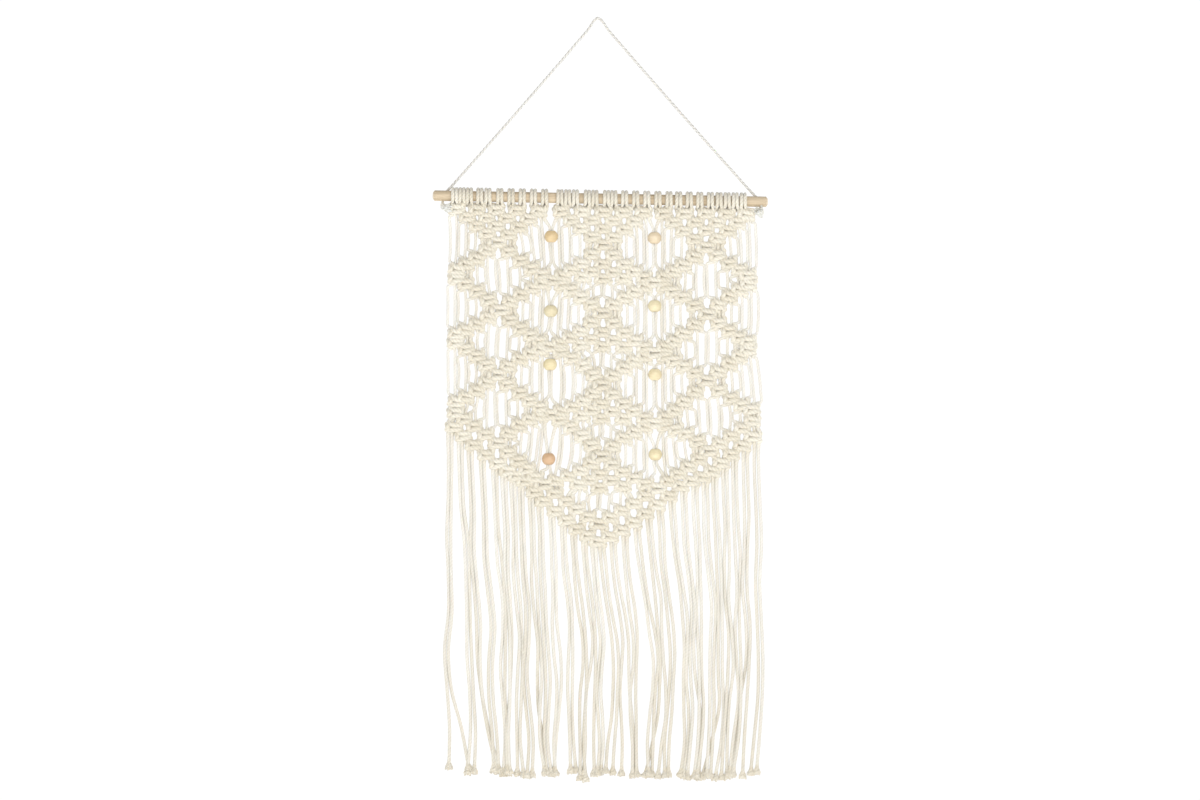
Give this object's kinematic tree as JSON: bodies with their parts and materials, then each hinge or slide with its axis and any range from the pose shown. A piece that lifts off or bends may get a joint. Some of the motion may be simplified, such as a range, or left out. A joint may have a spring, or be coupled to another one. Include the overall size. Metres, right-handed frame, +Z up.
{
  "type": "macrame wall hanging with dowel",
  "caption": "Macrame wall hanging: cotton cords knotted into a net of diamonds with wooden beads, on a wooden dowel with a hanger cord, ending in a V with a long fringe.",
  "frame": {"origin": "the point where the hanger cord rests on the nail that holds the hanging up", "axes": "+Z up; the front faces -Y; +X along the dowel to the right as seen from the front"},
  "size_m": [0.3802, 0.0206, 0.875],
  "materials": {
    "dowel_wood": "bare, sanded",
    "cotton_cord": "matte twisted cotton",
    "bead_orange": "smooth, lightly waxed",
    "bead_tan": "smooth, lightly waxed",
    "bead_pale": "smooth, lightly waxed",
    "bead_brown": "smooth, lightly waxed",
    "hanger_string": "thin twisted string"
  },
  "bodies": {
    "root": {"dowel": "dowel_wood", "net": "cotton_cord", "fringe": "cotton_cord", "bead_left_1": "bead_orange", "bead_left_2": "bead_tan", "bead_left_3": "bead_pale", "bead_left_4": "bead_brown", "bead_right_1": "bead_tan", "bead_right_2": "bead_pale", "bead_right_3": "bead_orange", "bead_right_4": "bead_tan", "hanger": "hanger_string", "hanger_knot_left": "hanger_string", "hanger_knot_right": "hanger_string"}
  },
  "joints": []
}
